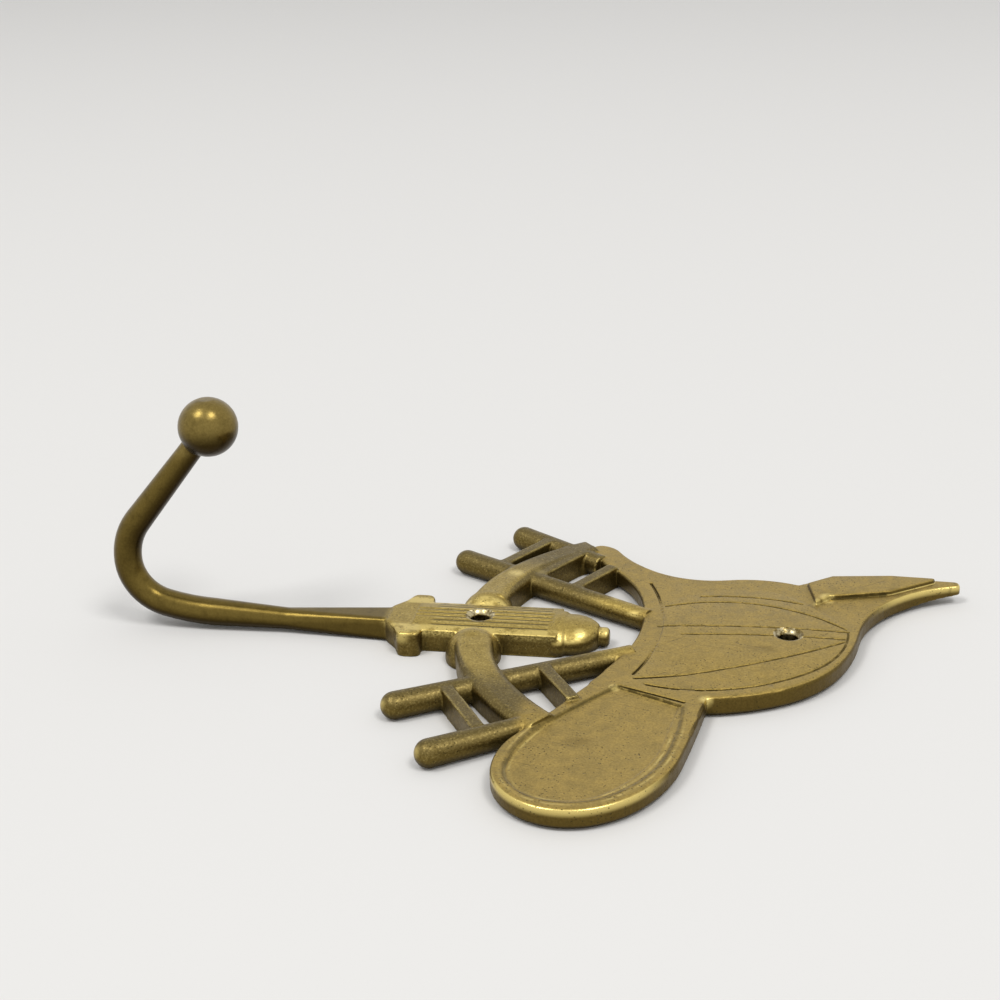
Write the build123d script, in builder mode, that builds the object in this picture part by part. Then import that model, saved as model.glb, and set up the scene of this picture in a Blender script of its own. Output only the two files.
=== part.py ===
"""One-piece brass wall hook: a fire helmet over a hydrant, two hoses, two ladders and a ball-ended arm.

The casting lies on its back: the wall plane is Z=0, +Z points away from the wall and +X up the wall.
The origin is midway between the two screw holes, on the back face. Millimetres throughout.
"""
from build123d import *
import math
import os

# Screws
screw_pitch = 72.8
screw_d = 4.4
sink_d = 6.9
sink_angle = 90

# Helmet plate, its rolled edge and the sunk panel of the rear brim
plate_t = 5.0
edge_r = 0.9
back_r = 1.2
crown_reach = 15.9
panel_sink = 0.55
flank_sink = 0.25

# Domed shell with its engraved seams
dome_rise = 0.8
dome_r = 24.0
seam_w = 0.55
seam_d = 0.35

# Horn and front shield
horn_x = 41.4
horn_y = 32.9
horn_tip_w = 2.8
horn_tip_r = 1.3
horn_lift = 2.6
horn_lift_len = 22.0
shield_h = 1.0

# Hydrant
barrel_len = 30.2
barrel_w = 15.0
barrel_side_h = 5.6
barrel_h = 6.9
flute_count = 7
flute_pitch = 1.75
flute_r = 0.8
flute_d = 0.3
flange_below = 12.9
flange_t = 5.2
flange_w = 21.6
flange_h = 6.2
flange_end_r = 1.8
flare_len = 4.4
flare_bulge = 1.6
bonnet_axis_z = 2.4
ring_w = 4.0
ring_half_w = 8.1
ring_half_h = 4.8
ring_round = 1.4
bonnet_len = 7.2
bonnet_inset = 0.9
bonnet_mid_w = 6.5
bonnet_mid_h = 4.1
bonnet_end_r = 2.9
nut_len = 2.6
nut_r = 2.3
nut_bevel = 0.6

# Outlets and hoses: they bend at a point measured from the lower screw and end at one measured from the upper
outlet_y = 10.2
outlet_r = 6.6
outlet_h = 7.6
hose_w = 8.8
hose_h = 7.8
hose_round = 2.4
hose_start = 0.4
hose_angle = 83
hose_bend = (8.0, 30.6)
hose_end = (-51.4, 45.4)
hose_dip = 2.6

# Ladders, their feet measured from the lower screw
rail_d = 6.3
rail_end_d = 5.4
rail_z = 3.0
inner_rail_angle = 30
outer_rail_angle = 34
inner_rail_len = 60.6
outer_rail_len = 30.5
rear_feet = ((-15.0, -40.4), (-3.2, -59.4))
front_feet = ((-12.9, 38.8), (-0.3, 55.5))
rung_w = 3.0
rung_h = 5.9
rung_first = 14.8
rung_pitch = 11.7
rung_count = 3
rung_share = 0.9
brim_rung_share = 0.75

# Arm: a flat bar that turns into a round rod, swells into the bend and tapers to the ball
bar_w = 7.8
bar_h = 6.0
bar_corner = 1.0
bar_len = 25.0
rod_d = 5.3
rod_corner = 2.5
rod_z = 3.05
bend_d = 6.8
swell_len = 19.0
swell_z = 3.85
neck_d = 5.3
arm_reach = 87.8
ball_d = 14.2
neck_len = 32.2
ball_flat = 0.25

upper_x = screw_pitch / 2
lower_x = -screw_pitch / 2
crown_x = upper_x + crown_reach
barrel_x = lower_x - flange_below
ring_x = barrel_x + barrel_len
flange_x = barrel_x - flange_t
arm_x = flange_x - flare_len
rod_x = arm_x - bar_len
swell_x = rod_x - swell_len
bend_x = lower_x - arm_reach


def up(x, y):
    """A point measured from the upper screw."""
    return (upper_x + x, y)


def tangent_arcs(start, heading, *ends):
    """Arcs from start through the ends, each leaving in line with the one before. Returns the last."""
    for end in ends:
        arc = TangentArc(start, end, tangent=heading)
        start = arc @ 1
        heading = arc % 1
    return arc


def heading(degrees):
    """Unit direction at that angle from +X."""
    return (math.cos(math.radians(degrees)), math.sin(math.radians(degrees)))


# Helmet in one outline: the long rear brim at -Y, the crescent round the hydrant, the front brim, the horn
# that holds the front shield, and the crown
notch = up(-17.2, -31.4)
brow = up(2.2, 28.6)
with BuildPart() as plate:
    with BuildSketch():
        with BuildLine():
            tangent_arcs(notch, heading(-97.1), up(-20.9, -55.1), up(-27.1, -69.4), up(-35.9, -76.8),
                         up(-46.1, -78.3), up(-54.8, -73.7), up(-59.3, -63.9), up(-55.9, -49.9),
                         up(-46.5, -32.9), up(-38.5, -15.2), up(-34.4, 1.5), up(-36.2, 18.6),
                         up(-43.3, 31.5), up(-51.2, 43.4), up(-48.0, 47.4), up(-43.6, 44.1),
                         up(-34.0, 33.3), up(-15.1, 29.7), brow)
            horn = Polyline(brow, up(9.8, 33.4), up(25.0, 35.3), up(horn_x, horn_y + horn_tip_w / 2),
                            up(horn_x, horn_y - horn_tip_w / 2))
            tangent_arcs(horn @ 1, heading(-166.3), up(24.1, 20.8), up(16.3, 3.3), up(12.0, -11.4),
                         up(-0.4, -25.3), notch)
        outline = make_face()
        fillet(outline.vertices().sort_by(Axis.X)[-2:], radius=horn_tip_r)
    extrude(amount=plate_t)
    fillet(plate.faces().sort_by(Axis.Z)[-1].edges(), radius=edge_r)
    chamfer(plate.faces().sort_by(Axis.Z)[0].edges(), length=back_r)
    with BuildSketch(Plane.XZ):
        with BuildLine():
            Polyline(up(horn_x - horn_lift_len, 0), up(horn_x, horn_lift), up(horn_x + horn_tip_w, horn_lift),
                     up(horn_x + horn_tip_w, -edge_r), up(horn_x - horn_lift_len, -edge_r), close=True)
        make_face()
    extrude(amount=-2 * horn_y, mode=Mode.SUBTRACT)

# Panel of the rear brim, sunk inside its rim with a shallower flank towards the crown
with BuildPart() as tail_panel:
    with BuildSketch(Plane.XY.offset(plate_t - flank_sink)):
        with BuildLine():
            rim = tangent_arcs(up(-22.0, -35.4), heading(-88.5), up(-23.9, -55.3), up(-33.3, -71.6),
                               up(-47.5, -74.9), up(-56.4, -61.7), up(-49.3, -43.5), up(-37.0, -27.8))
            Line(rim @ 1, up(-22.0, -35.4))
        make_face()
    extrude(amount=plate_t)
    with BuildSketch(Plane.XY.offset(plate_t - panel_sink)):
        with BuildLine():
            rim = tangent_arcs(up(-22.8, -35.2), heading(-98.0), up(-25.0, -51.0), up(-34.0, -70.2),
                               up(-47.3, -74.5), up(-56.1, -61.6), up(-49.1, -43.7), up(-37.0, -28.0))
            Line(rim @ 1, up(-22.8, -35.2))
        make_face()
    extrude(amount=plate_t)

# Domed shell, a shallow cap of a large sphere between the brim line and the band round the crown
cap_r = (dome_r ** 2 + dome_rise ** 2) / (2 * dome_rise)
cap_at = (crown_x - dome_r - 1.6, 0, plate_t + dome_rise - cap_r)
brim_line = [up(-34.2, 25.6), up(-29.4, 1.2), up(-34.2, -22.6)]
band = [up(-31.4, -26.4), up(-15.6, -27.4), up(4.8, -17.1), (crown_x - 2.2, 3.0)]
band_heading = heading(-18.4)
with BuildPart() as shell:
    with BuildSketch(Plane.XY.offset(plate_t - dome_rise)):
        with BuildLine():
            tangent_arcs(band[0], band_heading, *band[1:])
            ThreePointArc(band[-1], up(0.0, 20.6), brim_line[0])
            ThreePointArc(*brim_line)
            Line(brim_line[-1], band[0])
        make_face()
    extrude(amount=3 * dome_rise)
    with Locations(cap_at):
        Sphere(cap_r, rotation=(90, 0, 0), mode=Mode.INTERSECT)

# Seams of the shell and the lines along its bands, widened into strips and cut to an even depth
with BuildPart() as seams:
    with BuildSketch(Plane.XY.offset(plate_t - 2 * seam_d)):
        with BuildLine():
            ThreePointArc(up(-34.0, -24.2), up(-8.0, -15.4), (crown_x - 3.0, -1.6))
            Line(up(-24.8, -2.6), (crown_x - 2.8, -0.4))
            Line(up(-30.6, 1.6), (crown_x - 1.8, 3.4))
            ThreePointArc(up(-29.6, 12.4), up(-13.0, 15.6), (crown_x - 2.4, 4.4))
            ThreePointArc(up(-21.4, 18.6), up(-8.0, 19.0), up(3.4, 16.9))
            Line(up(-37.0, -27.6), up(-21.6, -33.8))
            tangent_arcs(band[0], band_heading, *band[1:])
            ThreePointArc(*brim_line)
        trace(line_width=seam_w)
    extrude(amount=4 * dome_rise)
    with Locations(cap_at):
        Sphere(cap_r - seam_d, rotation=(90, 0, 0), mode=Mode.SUBTRACT)

# Front shield, raised on the horn
with BuildPart() as shield:
    with BuildSketch(Plane.XY.offset(plate_t - shield_h)):
        with BuildLine():
            Polyline(up(24.6, 25.0), up(21.0, 23.6), up(9.6, 20.8), up(6.4, 17.2), up(4.4, 27.8),
                     up(10.4, 32.4), up(24.8, 34.2), up(horn_x - 6.0, horn_y + 0.7),
                     up(horn_x - 6.4, horn_y - 0.7), close=True)
        make_face()
    extrude(amount=2 * shield_h)
    fillet(shield.faces().sort_by(Axis.Z)[-1].edges(), radius=shield_h / 2)

# Hydrant barrel with a crowned, fluted face, running into the flange and under the ring
with BuildPart() as barrel:
    with BuildSketch(Plane.YZ.offset(barrel_x - flange_t / 2)):
        with BuildLine():
            sides = Polyline((barrel_w / 2, barrel_side_h), (barrel_w / 2, 0), (-barrel_w / 2, 0),
                             (-barrel_w / 2, barrel_side_h))
            ThreePointArc(sides @ 1, (0, barrel_h), sides @ 0)
        make_face()
        with Locations((0, barrel_h - flute_d + flute_r)):
            with GridLocations(flute_pitch, 1, flute_count, 1):
                Circle(flute_r, mode=Mode.SUBTRACT)
    extrude(amount=flange_t / 2 + barrel_len + ring_w / 2)

# Base flange with rounded ends, flaring into the arm
with BuildPart() as flange:
    with BuildSketch():
        with BuildLine():
            ends = Polyline((flange_x, flange_w / 2), (barrel_x, flange_w / 2), (barrel_x, -flange_w / 2),
                            (flange_x, -flange_w / 2))
            Polyline(ends @ 1, (flange_x - flare_bulge, -flange_w / 3), (arm_x, -bar_w / 2),
                     (arm_x, bar_w / 2), (flange_x - flare_bulge, flange_w / 3), ends @ 0)
        outline = make_face()
        fillet(outline.vertices().filter_by(lambda v: abs(v.Y) > flange_w / 2 - 0.1), radius=flange_end_r)
    extrude(amount=flange_h)
    fillet(flange.faces().sort_by(Axis.Z)[-1].edges(), radius=edge_r)

# Ring, bonnet and operating nut
with BuildPart() as bonnet:
    with BuildSketch(Plane.YZ.offset(ring_x)):
        with Locations((0, bonnet_axis_z)):
            Ellipse(ring_half_w, ring_half_h)
    extrude(amount=ring_w)
    fillet(bonnet.edges(), radius=ring_round)
    with BuildSketch(Plane.YZ.offset(ring_x + ring_w)):
        with Locations((0, bonnet_axis_z)):
            Ellipse(ring_half_w - bonnet_inset, ring_half_h - bonnet_inset / 2)
    with BuildSketch(Plane.YZ.offset(ring_x + ring_w + bonnet_len / 2)):
        with Locations((0, bonnet_axis_z)):
            Ellipse(bonnet_mid_w, bonnet_mid_h)
    with BuildSketch(Plane.YZ.offset(ring_x + ring_w + bonnet_len)):
        with Locations((0, bonnet_axis_z)):
            Circle(bonnet_end_r)
    loft()
    with BuildSketch(Plane.YZ.offset(ring_x + ring_w + bonnet_len)):
        with Locations((0, bonnet_axis_z)):
            Circle(nut_r)
    extrude(amount=nut_len)
    chamfer(bonnet.faces().sort_by(Axis.X)[-1].edges(), length=nut_bevel)

# Side outlets and the hoses that leave them, one set at +Y and one at -Y
with BuildPart() as outlets:
    with Locations((lower_x, outlet_y, outlet_h - outlet_r), (lower_x, -outlet_y, outlet_h - outlet_r)):
        Sphere(outlet_r, rotation=(90, 0, 0))


def hose(side):
    """Hose from the outlet to the tip of the brim on one side, a round-topped band swept along two arcs."""
    with BuildLine(Plane.XY.rotated((-side * hose_dip, 0, 0))) as route:
        tangent_arcs((lower_x + hose_start, side * outlet_y), heading(side * hose_angle),
                     (lower_x + hose_bend[0], side * hose_bend[1]), (upper_x + hose_end[0], side * hose_end[1]))
    along = route.line % 0
    with BuildPart() as band:
        with BuildSketch(Plane(route.line @ 0, x_dir=(-along.Y, along.X, 0), z_dir=along)):
            with Locations((0, hose_h / 2)):
                section = Rectangle(hose_w, hose_h)
            fillet(section.vertices().group_by(Axis.Y)[-1], radius=hose_round)
        sweep(path=route.line)
    return band.part


# Ladders: round tapered rails with domed feet, and flat-topped rungs between them
def rail(foot, angle, length):
    """Rail along the wall, from its domed foot towards the brim."""
    with BuildPart() as bar:
        with BuildSketch():
            with BuildLine():
                dome = RadiusArc((0, 0), (rail_d / 2, rail_d / 2), rail_d / 2)
                Polyline(dome @ 1, (length, rail_end_d / 2), (length, 0), (0, 0))
            make_face()
        revolve(axis=Axis.X)
    return bar.part.moved(Location((lower_x + foot[0], foot[1], rail_z), (0, 0, angle)))


def ladder(side, feet, inner_len, outer_len):
    """Ladder with its feet beside the hydrant and its rails ending in the brim."""
    inner, outer = feet
    rung_len = math.dist(inner, outer)
    lean = math.radians((inner_rail_angle + outer_rail_angle) / 2)
    across = Vector(math.sin(lean), side * math.cos(lean))
    along = Vector(*heading(-side * inner_rail_angle))
    with BuildPart() as frame:
        add(rail(inner, -side * inner_rail_angle, inner_len))
        add(rail(outer, -side * outer_rail_angle, outer_len))
        with BuildSketch():
            for i in range(rung_count):
                start = Vector(lower_x + inner[0], inner[1]) + along * (rung_first + i * rung_pitch)
                length = rung_len * (brim_rung_share if i == rung_count - 1 else rung_share)
                middle = start + across * (length / 2)
                with Locations(Location((middle.X, middle.Y), side * (90 - math.degrees(lean)))):
                    Rectangle(length, rung_w)
        extrude(amount=rung_h)
    return frame.part


def taper(start, end, start_d, end_d):
    """Cone between two points, from one diameter to another."""
    run = Vector(*end) - Vector(*start)
    with Locations(Plane(start, x_dir=(0, 1, 0), z_dir=run)):
        Cone(start_d / 2, end_d / 2, run.length, align=(Align.CENTER, Align.CENTER, Align.MIN))


# Arm: the bar's rounded section turns round, a cone swells into the bend, and a cone tapers to the ball
with BuildLine(Plane.XZ) as bend:
    tangent_arcs((swell_x, swell_z), (-swell_len, swell_z - rod_z), (bend_x + 8.8, 5.8),
                 (bend_x + 0.2, 16.8), (bend_x + 3.88, 27.5))
ball_at = bend.line @ 1 + bend.line % 1 * neck_len
with BuildPart() as arm:
    with BuildSketch(Plane.YZ.offset(arm_x + flare_len / 2)):
        with Locations((0, bar_h / 2)):
            RectangleRounded(bar_w, bar_h, bar_corner)
    with BuildSketch(Plane.YZ.offset(rod_x)):
        with Locations((0, rod_z)):
            RectangleRounded(rod_d, rod_d, rod_corner)
    loft()
    taper((rod_x, 0, rod_z), (swell_x, 0, swell_z), rod_d, bend_d)
    with BuildSketch(Plane(bend.line @ 0, x_dir=(0, 1, 0), z_dir=bend.line % 0)):
        Circle(bend_d / 2)
    sweep(path=bend.line)
    taper(bend.line @ 1, ball_at, bend_d, neck_d)
    with Locations(ball_at):
        Sphere(ball_d / 2, rotation=(90, 0, 0))
    split(bisect_by=Plane.XY.offset(ball_at.Z + ball_d / 2 - ball_flat), keep=Keep.BOTTOM)

# The casting: everything in one, trimmed at the wall plane, with its two countersunk holes
with BuildPart() as hook_casting:
    add(plate.part)
    add(tail_panel.part, mode=Mode.SUBTRACT)
    add(shell.part)
    add(seams.part, mode=Mode.SUBTRACT)
    add(shield.part)
    add(barrel.part)
    add(flange.part)
    add(bonnet.part)
    add(outlets.part)
    add(hose(-1))
    add(hose(1))
    add(ladder(-1, rear_feet, inner_rail_len, outer_rail_len))
    add(ladder(1, front_feet, inner_rail_len, outer_rail_len))
    add(arm.part)
    split(bisect_by=Plane.XY, keep=Keep.TOP)
    with Locations((upper_x, 0, plate_t + dome_rise), (lower_x, 0, barrel_h)):
        CounterSinkHole(radius=screw_d / 2, counter_sink_radius=sink_d / 2, counter_sink_angle=sink_angle)

hook_casting.part.label = "hook_casting"
os.makedirs("parts", exist_ok=True)
export_step(hook_casting.part, "parts/hook_casting.step")
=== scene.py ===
"""Looks for the one-piece brass wall hook, lying on its back as in the photograph. Metres throughout."""
import math
from functools import reduce

import bpy
from mathutils import Matrix, Vector

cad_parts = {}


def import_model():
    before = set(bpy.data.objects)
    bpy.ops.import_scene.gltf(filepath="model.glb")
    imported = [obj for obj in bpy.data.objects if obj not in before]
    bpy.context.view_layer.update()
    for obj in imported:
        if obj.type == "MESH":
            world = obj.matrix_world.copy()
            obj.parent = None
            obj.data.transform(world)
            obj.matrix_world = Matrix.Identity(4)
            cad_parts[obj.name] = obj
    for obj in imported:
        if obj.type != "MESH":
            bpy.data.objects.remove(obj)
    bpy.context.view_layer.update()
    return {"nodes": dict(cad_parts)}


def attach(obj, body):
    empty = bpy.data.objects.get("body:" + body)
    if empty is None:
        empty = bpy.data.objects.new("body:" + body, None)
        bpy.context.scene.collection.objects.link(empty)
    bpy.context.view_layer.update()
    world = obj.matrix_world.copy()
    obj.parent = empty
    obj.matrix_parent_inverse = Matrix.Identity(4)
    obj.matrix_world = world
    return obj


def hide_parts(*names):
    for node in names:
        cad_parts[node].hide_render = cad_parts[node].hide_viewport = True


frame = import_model()

MM = 0.001

# Camera, worked out from the screw holes, the level back face and the two matching hoses
CAMERA_PLACE = (33.0 * MM, -347.7 * MM, 183.0 * MM)
CAMERA_HEADING = 10.38
CAMERA_PITCH = 22.5
CAMERA_ROLL = -1.83
CAMERA_LENS = 59.4
SENSOR = 36.0

# Floor and light
FLOOR_COLOUR = (0.8, 0.79, 0.77, 1)
FLOOR_WIDTH = 16
FLOOR_DROP = 0.02 * MM
LAMPS = {"left_lamp": (-1.2, -0.9, 2.6), "right_lamp": (1.1, -0.9, 2.6)}
LAMP_WIDTH = 0.9
LAMP_POWER = 26
WHITE = (1, 1, 1, 1)
AMBIENT = 0.55

# Skin of the casting: its grid, and how far the helmet, the hydrant and the rougher rest are softened
WELD_REACH = 0.001 * MM
SKIN_GRID = 0.24 * MM
HELMET_SMOOTHING = 2
CAST_SMOOTHING = 8
HYDRANT_SHARE = 0.3
SKIN_FACES = 190000

# Places on the casting: X up the wall from the arm to the helmet, Y across, and heights off the wall
ARM_ROOT_X = -58.5 * MM
BALL_FOOT = (44 * MM, 47 * MM)
BARREL_X = (-49.3 * MM, -19.1 * MM)
BARREL_Y = 6.2 * MM
BARREL_TOP = 7.0 * MM
HYDRANT_Y = 8.5 * MM
FLUTE_PITCH = 1.75 * MM
RAILS_Y = (12 * MM, 17 * MM)
RAILS_TOP = 6.2 * MM
HELMET_X = 1.0 * MM
BRIM_Y = -38 * MM
BRIM_X = -22 * MM
BRIM_END_Y = (-60 * MM, -72 * MM)
HORN_X = (54 * MM, 64 * MM)
PLATE_T = 5.0 * MM
HOLES_X = (-36.4 * MM, 36.4 * MM)
SINK_R = 3.5 * MM
SINK_FOOT = 1.0 * MM

# Dark smudges: centre and half sizes in mm
SMUDGES = ((31.2, -8.3, 2.4, 1.5), (61.8, 25.4, 1.7, 1.6), (-6.0, -52.0, 3.2, 2.0))

# Engraved lines of the helmet in mm, each an arc through three points or a straight line between two
SEAMS = (((2.4, -24.2), (28.4, -15.4), (49.3, -1.6)), ((11.6, -2.6), (49.5, -0.4)),
         ((5.8, 1.6), (50.5, 3.4)), ((6.8, 12.4), (23.4, 15.6), (49.9, 4.4)),
         ((15.0, 18.6), (28.4, 19.0), (39.8, 16.9)), ((-0.6, -27.6), (14.8, -33.8)),
         ((-0.6, -28.0), (14.0, -35.2)), ((46.4, 20.5), (61.2, 24.7)))

# Chains of arcs in mm: the first point, the heading there in degrees, and the end of each arc
BAND = ((5.0, -26.4), -18.4, ((20.8, -27.4), (41.2, -17.1), (50.1, 3.0)))
RIM = ((14.4, -35.4), -88.5, ((12.5, -55.3), (3.1, -71.6), (-11.1, -74.9), (-20.0, -61.7), (-12.9, -43.5),
                              (-0.6, -27.8)))

# Painted highlights on rubbed places, and their reach, in mm: ladder feet, bonnet, nut, flange, hoses and
# shield
PAINTED_HIGHLIGHT_SPOTS = ((-52.2, -41.0, 4.6, 2.6), (-40.4, -60.0, 4.6, 2.6), (-50.1, 39.4, 4.6, 2.6),
          (-37.5, 56.1, 4.6, 2.6), (-6.2, -0.6, 4.2, 2.2), (-11.6, -4.8, 5.6, 2.2), (-53.4, -9.4, 5.2, 2.8),
          (-31.5, 24.0, 8.0, 3.2), (-25.5, 27.0, 8.0, 2.8), (-4.6, 15.4, 6.4, 2.8), (45.6, 20.0, 6.0, 2.6),
          (43.0, 17.6, 6.0, 1.8), (19.0, -31.6, 4.2, 2.2), (-1.2, -28.6, 5.0, 1.7))

# Half widths of the cut lines and of the brim's border, the lip beside it, and how far they all waver
LINE_HALF = (0.2 * MM, 0.38 * MM)
BORDER_HALF = (0.2 * MM, 0.75 * MM)
LIP = (0.6 * MM, 1.0 * MM, 1.5 * MM)
RIPPLE = 0.2 * MM

# Colours of the brass
FLAT = (0.375, 0.266, 0.076, 1)
FLAT_DARK = (0.28, 0.20, 0.057, 1)
# The helmet's side walls in painted shade; also the dark of the smudges and countersinks.
HELMET_SIDE = (0.118, 0.08, 0.02, 1)
CAST_TOP = (0.34, 0.25, 0.07, 1)
RAIL_TOP = (0.15, 0.112, 0.040, 1)
# Side walls of the castings in painted shade; also dark patches on their tops.
CAST_SIDE = (0.14, 0.098, 0.026, 1)
CAST_GRAIN = (0.26, 0.20, 0.068, 1)
BALL = (0.20, 0.145, 0.042, 1)
ARM_TOP = (0.14, 0.098, 0.024, 1)
# Lower faces of the arm and ball in painted shade; also their dark patches.
ARM_SHADE_AND_PATCH = (0.035, 0.022, 0.005, 1)
# Bright brass for wear on edges and for painted highlights.
WEAR_AND_HIGHLIGHT = (0.80, 0.63, 0.215, 1)
# Dark for dirt in cut lines, flutes, pits and scratches, and for painted shade in corners and under the
# castings.
DIRT_AND_SHADE = (0.050, 0.037, 0.011, 1)
SINK = (0.50, 0.43, 0.26, 1)
SPECK_DARK = (0.62, 0.60, 0.52, 1)
SPECK_PALE = (1.32, 1.32, 1.32, 1)

# Sizes of the surface's noises, from the finest specks to the broad patches, and the depth of its relief
SPECK_SIZE = 0.5 * MM
GRAIN_SIZE = 0.55 * MM
PIT_SPACING = 0.85 * MM
BREAK_SIZE = 2.2 * MM
MOTTLE_SIZE = 2.6 * MM
PIT_DRIFT = 4 * MM
WEAR_SIZE = 6 * MM
SCRATCH_DRIFT = 9 * MM
PATCH_SIZE = 16 * MM
RELIEF_DEPTH = 0.08 * MM
RELIEF_STRENGTH = 0.6

# How far a point looks for other faces to find corners, cut lines and edges, and the rays it takes
CORNER_REACH = 4 * MM
CUT_REACH = 0.9 * MM
EDGE_REACH = 1.0 * MM
LOOK_RAYS = 8


class Shader:
    """A material's node tree, with short names for the nodes that the looks are made of."""

    def __init__(self, name):
        self.material = bpy.data.materials.new(name)
        self.material.use_nodes = True
        self.tree = self.material.node_tree
        self.tree.nodes.clear()

    def node(self, kind, **settings):
        """A new node of that kind with those settings."""
        made = self.tree.nodes.new(kind)
        for key, value in settings.items():
            setattr(made, key, value)
        return made

    def feed(self, socket, value):
        """Links another node's output to the socket, or sets a plain value there."""
        if isinstance(value, bpy.types.NodeSocket):
            self.tree.links.new(value, socket)
        else:
            socket.default_value = value

    def math(self, operation, a, b=0.0, clamp=False):
        made = self.node("ShaderNodeMath", operation=operation, use_clamp=clamp)
        self.feed(made.inputs[0], a)
        self.feed(made.inputs[1], b)
        return made.outputs[0]

    def fold(self, operation, values):
        """All the values taken together, one after the other."""
        return reduce(lambda a, b: self.math(operation, a, b), values)

    def times(self, *values):
        return self.fold("MULTIPLY", values)

    def total(self, *values):
        return self.fold("ADD", values)

    def largest(self, *values):
        return self.fold("MAXIMUM", values)

    def vector(self, operation, a, b):
        made = self.node("ShaderNodeVectorMath", operation=operation)
        self.feed(made.inputs[0], a)
        self.feed(made.inputs[1], b)
        return made.outputs["Value" if operation in ("DISTANCE", "DOT_PRODUCT") else "Vector"]

    def split(self, vector):
        made = self.node("ShaderNodeSeparateXYZ")
        self.feed(made.inputs[0], vector)
        return made.outputs

    def ramp(self, value, low, high, start=0.0, end=1.0):
        """Takes value from the range low to high to the range start to end, smoothly."""
        made = self.node("ShaderNodeMapRange", interpolation_type="SMOOTHSTEP")
        self.feed(made.inputs["Value"], value)
        for key, limit in (("From Min", low), ("From Max", high), ("To Min", start), ("To Max", end)):
            self.feed(made.inputs[key], limit)
        return made.outputs[0]

    def fade(self, value, low, high):
        """One up to low, falling to zero at high."""
        return self.ramp(value, low, high, 1.0, 0.0)

    def mix(self, share, a, b, blend_type="MIX"):
        """Colour a, or b where share is 1."""
        made = self.node("ShaderNodeMix", data_type="RGBA", blend_type=blend_type)
        self.feed(made.inputs[0], share)
        self.feed(made.inputs[6], a)
        self.feed(made.inputs[7], b)
        return made.outputs[2]

    def blend(self, share, a, b):
        """Number a, or b where share is 1."""
        made = self.node("ShaderNodeMix", data_type="FLOAT")
        self.feed(made.inputs[0], share)
        self.feed(made.inputs[2], a)
        self.feed(made.inputs[3], b)
        return made.outputs[0]

    def finish(self, settings):
        """Makes the surface, set by the names of its sockets, and hands back the material."""
        surface = self.node("ShaderNodeBsdfPrincipled")
        for key, value in settings.items():
            self.feed(surface.inputs[key], value)
        out = self.node("ShaderNodeOutputMaterial")
        self.feed(out.inputs["Surface"], surface.outputs[0])
        return self.material


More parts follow.
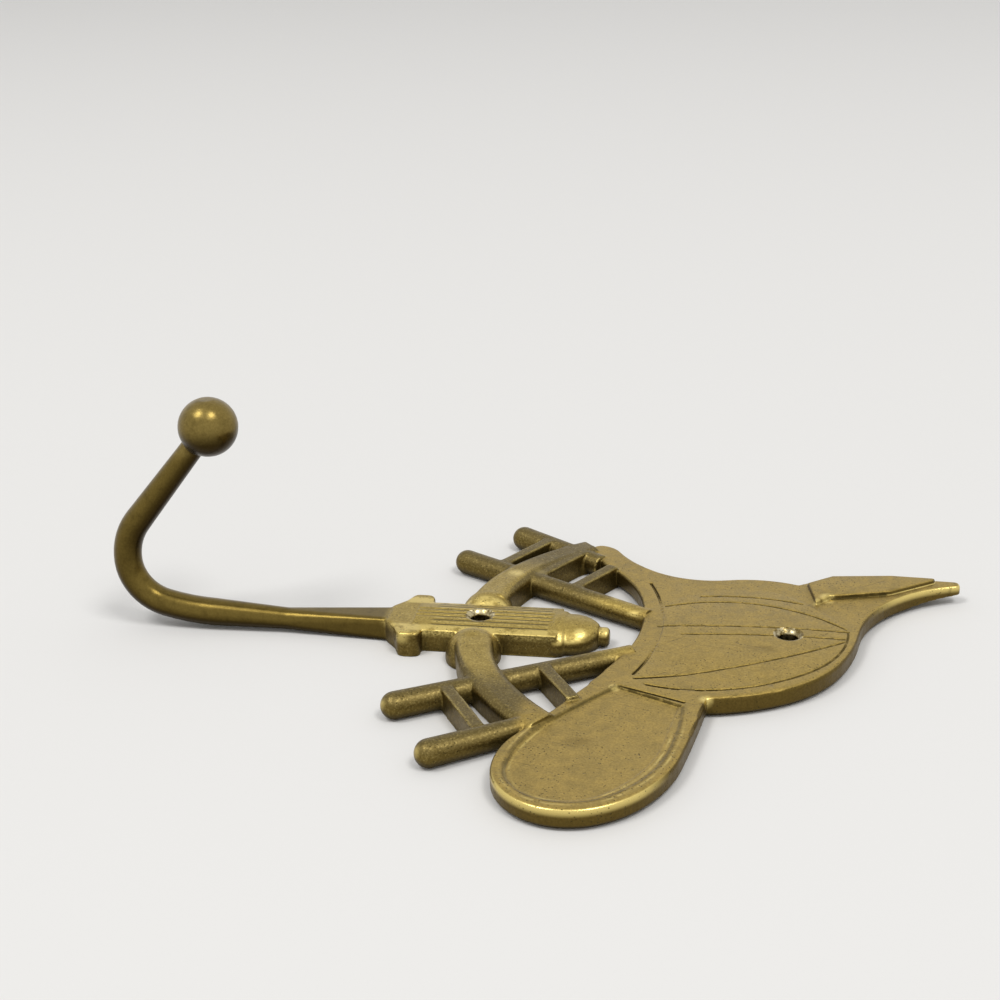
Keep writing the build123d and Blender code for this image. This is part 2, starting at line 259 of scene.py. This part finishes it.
class Brass(Shader):
    """Aged solid brass: dull olive flats with pits, grainy side walls darkened by painted shade, and bright
    edges from wear and painted highlights.
    """

    def __init__(self):
        super().__init__("aged_brass")
        coordinates = self.node("ShaderNodeTexCoord")
        self.place = coordinates.outputs["Object"]
        self.along, self.across, self.height = self.split(self.place)
        self.off_axis = self.math("ABSOLUTE", self.across)
        self.facing = self.split(coordinates.outputs["Normal"])[2]
        self.upward = self.ramp(self.facing, 0.5, 0.85)
        self.speck = self.noise(SPECK_SIZE, 2, 0.7)
        self.grain = self.noise(GRAIN_SIZE, 3, 0.65)
        self.mottle = self.noise(MOTTLE_SIZE, 4, 0.65)
        self.wear = self.noise(WEAR_SIZE, 3, 0.6)
        self.arm, self.helmet, self.rest, self.hydrant = self.regions()

    def stretch(self, scale, turn):
        """The object's own coordinates, turned about Z and scaled along each axis."""
        turned = self.node("ShaderNodeMapping")
        self.feed(turned.inputs["Vector"], self.place)
        turned.inputs["Rotation"].default_value = (0, 0, math.radians(turn))
        made = self.node("ShaderNodeMapping")
        self.feed(made.inputs["Vector"], turned.outputs[0])
        made.inputs["Scale"].default_value = scale
        return made.outputs[0]

    def noise(self, size, detail=2.0, roughness=0.5, vector=None):
        """Noise between 0 and 1 whose lumps are about size across."""
        made = self.node("ShaderNodeTexNoise")
        self.feed(made.inputs["Vector"], vector or self.place)
        made.inputs["Scale"].default_value = 1 / size
        made.inputs["Detail"].default_value = detail
        made.inputs["Roughness"].default_value = roughness
        return made.outputs["Fac"]

    def openness(self, reach, inside=False):
        """Low in a hollow, or low beside a sharp edge if the look is into the metal."""
        made = self.node("ShaderNodeAmbientOcclusion", samples=LOOK_RAYS, inside=inside)
        made.inputs["Distance"].default_value = reach
        return made.outputs["AO"]

    def near(self, place, reach):
        """One at place, fading to zero at that reach from it."""
        return self.fade(self.vector("DISTANCE", self.place, place), 0.3 * reach, reach)

    def spot(self, centre, size, soft):
        """One inside an upright ellipse of that size about centre, and zero outside it."""
        across = self.math("DIVIDE", self.math("SUBTRACT", self.along, centre[0]), size[0])
        up = self.math("DIVIDE", self.math("SUBTRACT", self.across, centre[1]), size[1])
        far = self.math("SQRT", self.total(self.math("POWER", across, 2), self.math("POWER", up, 2)))
        return self.fade(far, 1 - soft, 1 + soft)

    def past(self, plan, direction, origin):
        """How far a point lies past the origin, measured along the direction."""
        reach = self.vector("DOT_PRODUCT", plan, (*direction, 0))
        return self.math("SUBTRACT", reach, direction.dot(origin))

    def from_stroke(self, plan, start, middle, end):
        """How far a point lies from an arc or straight line, and a metre or more beyond its ends."""
        chord = end - start
        ahead = chord.normalized()
        aside = Vector((-ahead.y, ahead.x))
        beyond = self.math("ABSOLUTE", self.past(plan, ahead, (start + end) / 2))
        outside = self.math("GREATER_THAN", beyond, chord.length / 2)
        if middle is None:
            far = self.past(plan, aside, start)
        else:
            centre, radius = circle(start, middle, end)
            far = self.math("SUBTRACT", self.vector("DISTANCE", plan, (*centre, 0)), radius)
            bulge = aside if aside.dot(middle - start) > 0 else -aside
            behind = self.math("LESS_THAN", self.past(plan, bulge, start), -1.0 * MM)
            outside = self.largest(outside, behind)
        return self.total(self.math("ABSOLUTE", far), outside)

    def nearest(self, lines):
        """How far a point lies from the nearest of the lines, seen along Z."""
        plan = self.vector("MULTIPLY", self.place, (1, 1, 0))
        return self.fold("MINIMUM", [self.from_stroke(plan, *line) for line in lines])

    def regions(self):
        """How far a point belongs to the arm, the helmet, the castings between them, and their hydrant."""
        arm = self.fade(self.along, ARM_ROOT_X - 2 * MM, ARM_ROOT_X + 1 * MM)
        crown = self.ramp(self.along, HELMET_X - 3 * MM, HELMET_X + 2 * MM)
        brim = self.times(self.fade(self.across, BRIM_Y - 4 * MM, BRIM_Y + 2 * MM),
                          self.ramp(self.along, BRIM_X, BRIM_X + 4 * MM))
        plate = self.times(self.fade(self.height, PLATE_T + 0.15 * MM, PLATE_T + 0.4 * MM),
                           self.ramp(self.facing, 0.75, 0.92),
                           self.ramp(self.along, BRIM_X - 8 * MM, BRIM_X - 4 * MM))
        helmet = self.largest(crown, brim, plate)
        rest = self.math("SUBTRACT", self.math("SUBTRACT", 1.0, arm), helmet, clamp=True)
        hydrant = self.times(rest, self.fade(self.off_axis, HYDRANT_Y - 0.3 * MM, HYDRANT_Y + 0.9 * MM))
        return arm, helmet, rest, hydrant

    def colour_with_painted_shade(self):
        """Colour of the helmet, the castings and the arm, with painted shade darkening their side walls and
        undersides.
        """
        flat = self.mix(self.ramp(self.mottle, 0.35, 0.68), FLAT_DARK, FLAT)
        flat = self.mix(self.ramp(self.noise(PATCH_SIZE, 3, 0.6), 0.4, 0.65, 0.0, 0.45), flat, FLAT)
        # Helmet side walls darker than its top: painted shade.
        helmet = self.mix(self.ramp(self.facing, 0.97, 0.6), flat, HELMET_SIDE)

        rails = self.times(self.ramp(self.off_axis, *RAILS_Y),
                           self.fade(self.height, RAILS_TOP, RAILS_TOP + 0.5 * MM))
        top = self.mix(rails, CAST_TOP, RAIL_TOP)
        top = self.mix(self.ramp(self.mottle, 0.45, 0.75, 0.0, 0.4), top, CAST_SIDE)
        side = self.mix(self.ramp(self.grain, 0.5, 0.68, 0.0, 0.6), CAST_SIDE, CAST_GRAIN)
        # Side walls of the castings darker than their tops: painted shade, with grain.
        casting = self.mix(self.ramp(self.facing, 0.85, 0.1), top, side)
        # Faces turned downwards darker still: painted shade.
        casting = self.mix(self.ramp(self.facing, 0.1, -0.5, 0.0, 0.6), casting, DIRT_AND_SHADE)

        arm = self.mix(self.ramp(self.height, *BALL_FOOT), ARM_TOP, BALL)
        # Arm and ball darker on their lower faces: painted shade.
        arm = self.mix(self.ramp(self.facing, 0.25, -0.4), arm, ARM_SHADE_AND_PATCH)
        arm = self.mix(self.ramp(self.mottle, 0.45, 0.75, 0.0, 0.35), arm, ARM_SHADE_AND_PATCH)
        return self.mix(self.arm, self.mix(self.helmet, casting, helmet), arm)

    def specked(self, colour):
        """The colour with fine dark and pale specks, strongest on the castings and weakest on the arm."""
        share = self.total(self.times(self.rest, 0.12), self.blend(self.arm, 0.38, 0.25))
        shade = self.mix(self.ramp(self.speck, 0.32, 0.68), SPECK_DARK, SPECK_PALE)
        return self.mix(share, colour, shade, "MULTIPLY")

    def pits(self):
        """Small round pits in drifts, few of them on the arm."""
        cells = self.node("ShaderNodeTexVoronoi")
        self.feed(cells.inputs["Vector"], self.place)
        cells.inputs["Scale"].default_value = 1 / PIT_SPACING
        drift = self.ramp(self.noise(PIT_DRIFT), 0.42, 0.56)
        few = self.ramp(self.arm, 0, 1, 1.0, 0.15)
        return self.times(self.fade(cells.outputs["Distance"], 0.14, 0.27), drift, few)

    def scratches(self):
        """Fine straight scratches on the helmet, in two directions and in drifts."""
        first = self.ramp(self.noise(1, 1, 0.5, self.stretch((40, 2200, 40), 14)), 0.66, 0.72)
        second = self.ramp(self.noise(1, 1, 0.5, self.stretch((60, 1800, 60), -38)), 0.68, 0.74)
        drift = self.ramp(self.noise(SCRATCH_DRIFT), 0.45, 0.6)
        return self.times(self.total(first, second), drift, self.helmet)

    def engraving(self):
        """The helmet's cut lines, the brim's sunk border, and the bright lip along that border, a painted
        highlight.
        """
        ripple = self.times(self.math("SUBTRACT", self.speck, 0.5), RIPPLE)
        seam = self.total(self.nearest(strokes(SEAMS) + chain(*BAND)), ripple)
        rim = self.total(self.nearest(chain(*RIM)), ripple)
        broken = self.ramp(self.noise(BREAK_SIZE, 2, 0.6), 0.34, 0.52, 0.45, 1.0)
        front = self.ramp(self.height, PLATE_T - 1.4 * MM, PLATE_T - 0.8 * MM)
        drawn = self.times(self.fade(seam, *LINE_HALF), broken, front)
        sunk = self.times(self.fade(rim, *BORDER_HALF), broken, self.upward)
        # Bright lip beside the brim's border: painted highlight, in patches.
        lip = self.times(self.ramp(rim, LIP[0], LIP[1]), self.fade(rim, LIP[1], LIP[2]), self.upward,
                         self.ramp(self.wear, 0.4, 0.65, 0.05, 0.45),
                         self.ramp(self.across, BRIM_Y - 2 * MM, BRIM_Y - 10 * MM))
        return drawn, sunk, lip

    def flutes(self):
        """The dark hollows and the bright ridges of the hydrant's barrel."""
        wave = self.times(self.math("PINGPONG", self.off_axis, FLUTE_PITCH / 2), 2 / FLUTE_PITCH)
        fluted = self.times(self.fade(self.off_axis, BARREL_Y - 0.5 * MM, BARREL_Y),
                            self.ramp(self.facing, 0.4, 0.7),
                            self.ramp(self.along, BARREL_X[0] + 1 * MM, BARREL_X[0] + 3 * MM),
                            self.fade(self.along, BARREL_X[1] - 0.5 * MM, BARREL_X[1]),
                            self.fade(self.height, BARREL_TOP, BARREL_TOP + 0.2 * MM))
        hollow = self.times(self.ramp(wave, 0.42, 0.12), fluted)
        ridge = self.times(self.ramp(wave, 0.7, 0.95), fluted, self.ramp(self.mottle, 0.4, 0.6))
        return hollow, ridge

    def wear_and_highlights(self, ridge, lip):
        """Where the brass is bright: wear on edges and flute ridges, and painted highlights on the rolled
        rims, the listed spots, the hydrant, the castings' specks and the brim's lip.
        """
        tips = self.largest(self.ramp(self.across, *BRIM_END_Y), self.ramp(self.along, *HORN_X))
        edge = self.times(self.ramp(self.openness(EDGE_REACH, inside=True),
                                    self.blend(self.rest, 0.72, 0.82), self.blend(self.rest, 0.5, 0.6)),
                          self.ramp(self.wear, 0.35, 0.6, 0.15, 1.0),
                          self.ramp(self.largest(tips, self.rest), 0, 1, 0.25, 0.9))
        # Bright band along the rolled rims of the brim ends and the horn: painted highlight.
        rolled = self.times(self.ramp(self.height, PLATE_T - 2.0 * MM, PLATE_T - 0.7 * MM),
                            self.fade(self.height, PLATE_T + 0.1 * MM, PLATE_T + 0.3 * MM),
                            self.ramp(self.facing, 0.97, 0.8), tips, 0.75)
        patchy = self.ramp(self.mottle, 0.3, 0.6, 0.3, 0.75)
        # Bright spots at the listed places: painted highlights.
        spot_highlights = [self.times(self.near((x * MM, y * MM, z * MM), reach * MM), patchy)
                for x, y, z, reach in PAINTED_HIGHLIGHT_SPOTS]
        # Sheen on the hydrant's top: painted highlight.
        gloss = self.times(self.hydrant, self.ramp(self.mottle, 0.42, 0.62),
                           self.ramp(self.facing, 0.2, 0.6), 0.06)
        # Bright specks on the castings' upper faces: painted glints.
        glint = self.times(self.rest, self.ramp(self.speck, 0.56, 0.68),
                           self.ramp(self.facing, -0.2, 0.5), 0.13)
        # Bright band on the hydrant's side walls: painted highlight.
        flank = self.times(self.ramp(self.height, 3.4 * MM, 5.4 * MM), self.ramp(self.facing, 0.6, 0.3),
                           self.hydrant, self.ramp(self.grain, 0.38, 0.6, 0.2, 0.75))
        # Bright band along the edges of the hydrant's barrel: painted highlight.
        shoulder = self.times(self.hydrant, self.ramp(self.off_axis, BARREL_Y - 1.2 * MM, BARREL_Y),
                              self.ramp(self.facing, 0.3, 0.6), self.ramp(self.mottle, 0.35, 0.55), 0.6)
        return self.largest(edge, rolled, *spot_highlights, gloss, glint, flank, shoulder, self.times(ridge, 0.6), lip)

    def corner_shade_and_dirt(self):
        """Painted shade and dirt in the corners between forms and where the casting meets the floor, in
        patches.
        """
        return self.times(self.ramp(self.openness(CORNER_REACH), 0.8, 0.35),
                          self.ramp(self.mottle, 0.2, 0.6, 0.55, 1.0))

    def cut_dirt(self):
        """Dirt in the cut lines and steps of the helmet."""
        return self.times(self.ramp(self.openness(CUT_REACH), 0.93, 0.7),
                          self.ramp(self.wear, 0.25, 0.6, 0.55, 1.0), self.helmet)

    def smudged(self, colour):
        """The colour with the dark smudges on the helmet's top."""
        for x, y, wide, tall in SMUDGES:
            smudge = self.times(self.spot(scaled((x, y)), scaled((wide, tall)), 0.6), self.helmet,
                                self.upward, self.ramp(self.mottle, 0.35, 0.6, 0.1, 0.45))
            colour = self.mix(smudge, colour, HELMET_SIDE)
        return colour

    def sinks(self):
        """The countersinks of the two screw holes."""
        discs = self.largest(*(self.spot((x, 0), (SINK_R, SINK_R), 0.04) for x in HOLES_X))
        return self.times(discs, self.ramp(self.height, SINK_FOOT, 2 * SINK_FOOT))

    def bump(self, pits, scratches, drawn, hollow, sinks):
        """Normal of the surface's relief, with smooth countersinks and a smooth arm."""
        grained = self.total(self.times(self.rest, 1.2), self.times(self.helmet, 0.25))
        relief = self.total(self.times(self.grain, grained),
                            self.times(self.mottle, self.blend(self.arm, 0.7, 0.2)),
                            self.times(self.speck, 0.5, self.blend(self.arm, 1.0, 0.2)),
                            self.times(pits, -1.0), self.times(scratches, -0.4))
        relief = self.times(relief, self.math("SUBTRACT", 1.0, sinks))
        relief = self.total(relief, self.times(drawn, -0.6), self.times(hollow, -2.0))
        made = self.node("ShaderNodeBump")
        made.inputs["Strength"].default_value = RELIEF_STRENGTH
        made.inputs["Distance"].default_value = RELIEF_DEPTH
        self.feed(made.inputs["Height"], relief)
        return made.outputs[0]


def circle(start, middle, end):
    """Centre and radius of the circle through three points."""
    near = middle - start
    far = end - start
    twice = 2 * (near.x * far.y - near.y * far.x)
    x = (far.y * near.dot(near) - near.y * far.dot(far)) / twice
    y = (near.x * far.dot(far) - far.x * near.dot(near)) / twice
    return start + Vector((x, y)), Vector((x, y)).length


def scaled(point):
    """A point or size in mm, in metres."""
    return Vector((point[0] * MM, point[1] * MM))


def strokes(lines):
    """Each line in metres as start, middle and end, with no middle where it is straight."""
    return [(scaled(line[0]), scaled(line[1]) if len(line) == 3 else None, scaled(line[-1]))
            for line in lines]


def chain(start, degrees, ends):
    """Arcs in metres through the ends, each leaving in line with the one before."""
    made = []
    start = scaled(start)
    heading = Vector((math.cos(math.radians(degrees)), math.sin(math.radians(degrees))))
    for end in map(scaled, ends):
        chord = end - start
        side = Vector((-heading.y, heading.x))
        radius = chord.dot(chord) / (2 * chord.dot(side))
        centre = start + side * radius
        middle = centre + ((start + end) / 2 - centre).normalized() * abs(radius)
        made.append((start, middle, end))
        heading = 2 * heading.dot(chord.normalized()) * chord.normalized() - heading
        start = end
    return made


def brass():
    """The casting's material: its colour with painted shade, its wear and painted highlights, its dirt and
    painted shade in corners, and its relief.
    """
    metal = Brass()
    pits = metal.pits()
    scratches = metal.scratches()
    corner_shade_and_dirt = metal.corner_shade_and_dirt()
    sinks = metal.sinks()
    drawn, sunk, lip = metal.engraving()
    hollow, ridge = metal.flutes()
    wear_and_highlights = metal.wear_and_highlights(ridge, lip)

    # Wear and painted highlights laid over the colour with its painted shade and specks.
    colour = metal.mix(wear_and_highlights, metal.specked(metal.colour_with_painted_shade()), WEAR_AND_HIGHLIGHT)
    # Painted shade and dirt in the corners first, then dirt and dark cut lines, flutes, pits and scratches.
    for mark, share in ((corner_shade_and_dirt, 0.6), (metal.cut_dirt(), 0.45), (drawn, 0.75), (sunk, 0.5),
                        (hollow, 0.7), (pits, 0.75), (scratches, 0.3)):
        colour = metal.mix(metal.times(mark, share), colour, DIRT_AND_SHADE)
    sink_colour = metal.mix(metal.ramp(metal.mottle, 0.42, 0.58), HELMET_SIDE, SINK)
    colour = metal.mix(metal.times(sinks, 0.85), metal.smudged(colour), sink_colour)

    rough = metal.ramp(metal.mottle, 0.3, 0.7, 0.38, 0.48)
    for mark, roughness in ((metal.arm, 0.3), (wear_and_highlights, 0.22), (corner_shade_and_dirt, 0.6), (drawn, 0.7), (sinks, 0.28)):
        rough = metal.blend(mark, rough, roughness)

    normal = metal.bump(pits, scratches, drawn, hollow, sinks)
    return metal.finish({"Base Color": colour, "Roughness": rough, "Metallic": 1.0, "Normal": normal})


def evaluated(piece):
    """The piece's mesh with its modifiers applied."""
    return bpy.data.meshes.new_from_object(piece.evaluated_get(bpy.context.evaluated_depsgraph_get()))


def skin(node, material):
    """The casting's skin: the CAD node's own shape, with joints and edges as soft as a casting's are."""
    piece = node.copy()
    piece.data = node.data.copy()
    piece.name = "casting_skin"
    piece.parent = None
    bpy.context.scene.collection.objects.link(piece)
    weld = piece.modifiers.new("weld", "WELD")
    weld.merge_threshold = WELD_REACH
    grid = piece.modifiers.new("grid", "REMESH")
    grid.mode = "VOXEL"
    grid.voxel_size = SKIN_GRID
    piece.data = evaluated(piece)
    piece.modifiers.clear()

    rough_cast = piece.vertex_groups.new(name="rough_cast")
    lower = [v for v in piece.data.vertices if v.co.x < HELMET_X - 3 * MM and v.co.y > BRIM_Y]
    rough_cast.add([v.index for v in lower], 1.0, "REPLACE")
    hydrant = [v.index for v in lower if abs(v.co.y) < HYDRANT_Y and v.co.x > ARM_ROOT_X + 4 * MM]
    rough_cast.add(hydrant, HYDRANT_SHARE, "REPLACE")
    soften = piece.modifiers.new("soften", "SMOOTH")
    soften.iterations = HELMET_SMOOTHING
    soften = piece.modifiers.new("soften_cast", "SMOOTH")
    soften.iterations = CAST_SMOOTHING
    soften.vertex_group = rough_cast.name
    thinned = piece.modifiers.new("thinned", "DECIMATE")
    thinned.ratio = min(1.0, SKIN_FACES / (2 * len(piece.data.polygons)))
    mesh = evaluated(piece)
    piece.modifiers.clear()
    piece.vertex_groups.clear()
    piece.data = mesh
    mesh.materials.clear()
    mesh.materials.append(material)
    mesh.polygons.foreach_set("use_smooth", [True] * len(mesh.polygons))
    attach(piece, "root")
    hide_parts(node.name)


def floor():
    """Plain pale floor under the hook."""
    shader = Shader("pale_floor")
    material = shader.finish({"Base Color": FLOOR_COLOUR, "Roughness": 0.9, "Specular IOR Level": 0.1})
    bpy.ops.mesh.primitive_plane_add(size=FLOOR_WIDTH, location=(0, 0, -FLOOR_DROP))
    ground = bpy.context.object
    ground.name = "floor"
    ground.data.materials.append(material)


def lamp(name, place):
    """A square soft lamp at place, turned towards the hook."""
    data = bpy.data.lights.new(name, "AREA")
    data.size = LAMP_WIDTH
    data.energy = LAMP_POWER
    light = bpy.data.objects.new(name, data)
    bpy.context.scene.collection.objects.link(light)
    light.location = place
    light.rotation_euler = (-Vector(place)).to_track_quat("-Z", "Y").to_euler()


def world():
    """Soft even light, with a white background for the camera and for reflections."""
    shade = bpy.data.worlds.new("studio")
    bpy.context.scene.world = shade
    shade.use_nodes = True
    tree = shade.node_tree
    tree.nodes.clear()
    path = tree.nodes.new("ShaderNodeLightPath")
    seen = tree.nodes.new("ShaderNodeMath")
    seen.operation = "MAXIMUM"
    tree.links.new(path.outputs["Is Camera Ray"], seen.inputs[0])
    tree.links.new(path.outputs["Is Glossy Ray"], seen.inputs[1])
    either = tree.nodes.new("ShaderNodeMixShader")
    tree.links.new(seen.outputs[0], either.inputs[0])
    for slot, strength in ((1, AMBIENT), (2, 1.0)):
        background = tree.nodes.new("ShaderNodeBackground")
        background.inputs["Color"].default_value = WHITE
        background.inputs["Strength"].default_value = strength
        tree.links.new(background.outputs[0], either.inputs[slot])
    out = tree.nodes.new("ShaderNodeOutputWorld")
    tree.links.new(either.outputs[0], out.inputs[0])


def camera():
    """The photograph's camera, turned by its heading, pitch and roll."""
    data = bpy.data.cameras.new("photo_camera")
    data.lens = CAMERA_LENS
    data.sensor_width = SENSOR
    view = bpy.data.objects.new("photo_camera", data)
    bpy.context.scene.collection.objects.link(view)
    heading = Matrix.Rotation(math.radians(CAMERA_HEADING), 4, "Z")
    pitch = Matrix.Rotation(math.radians(90 - CAMERA_PITCH), 4, "X")
    roll = Matrix.Rotation(math.radians(CAMERA_ROLL), 4, "Z")
    view.matrix_world = Matrix.Translation(CAMERA_PLACE) @ heading @ pitch @ roll
    bpy.context.scene.camera = view


skin(frame["nodes"]["hook_casting"], brass())
floor()
for lamp_name, lamp_place in LAMPS.items():
    lamp(lamp_name, lamp_place)
world()
camera()
bpy.context.scene.view_settings.view_transform = "Standard"
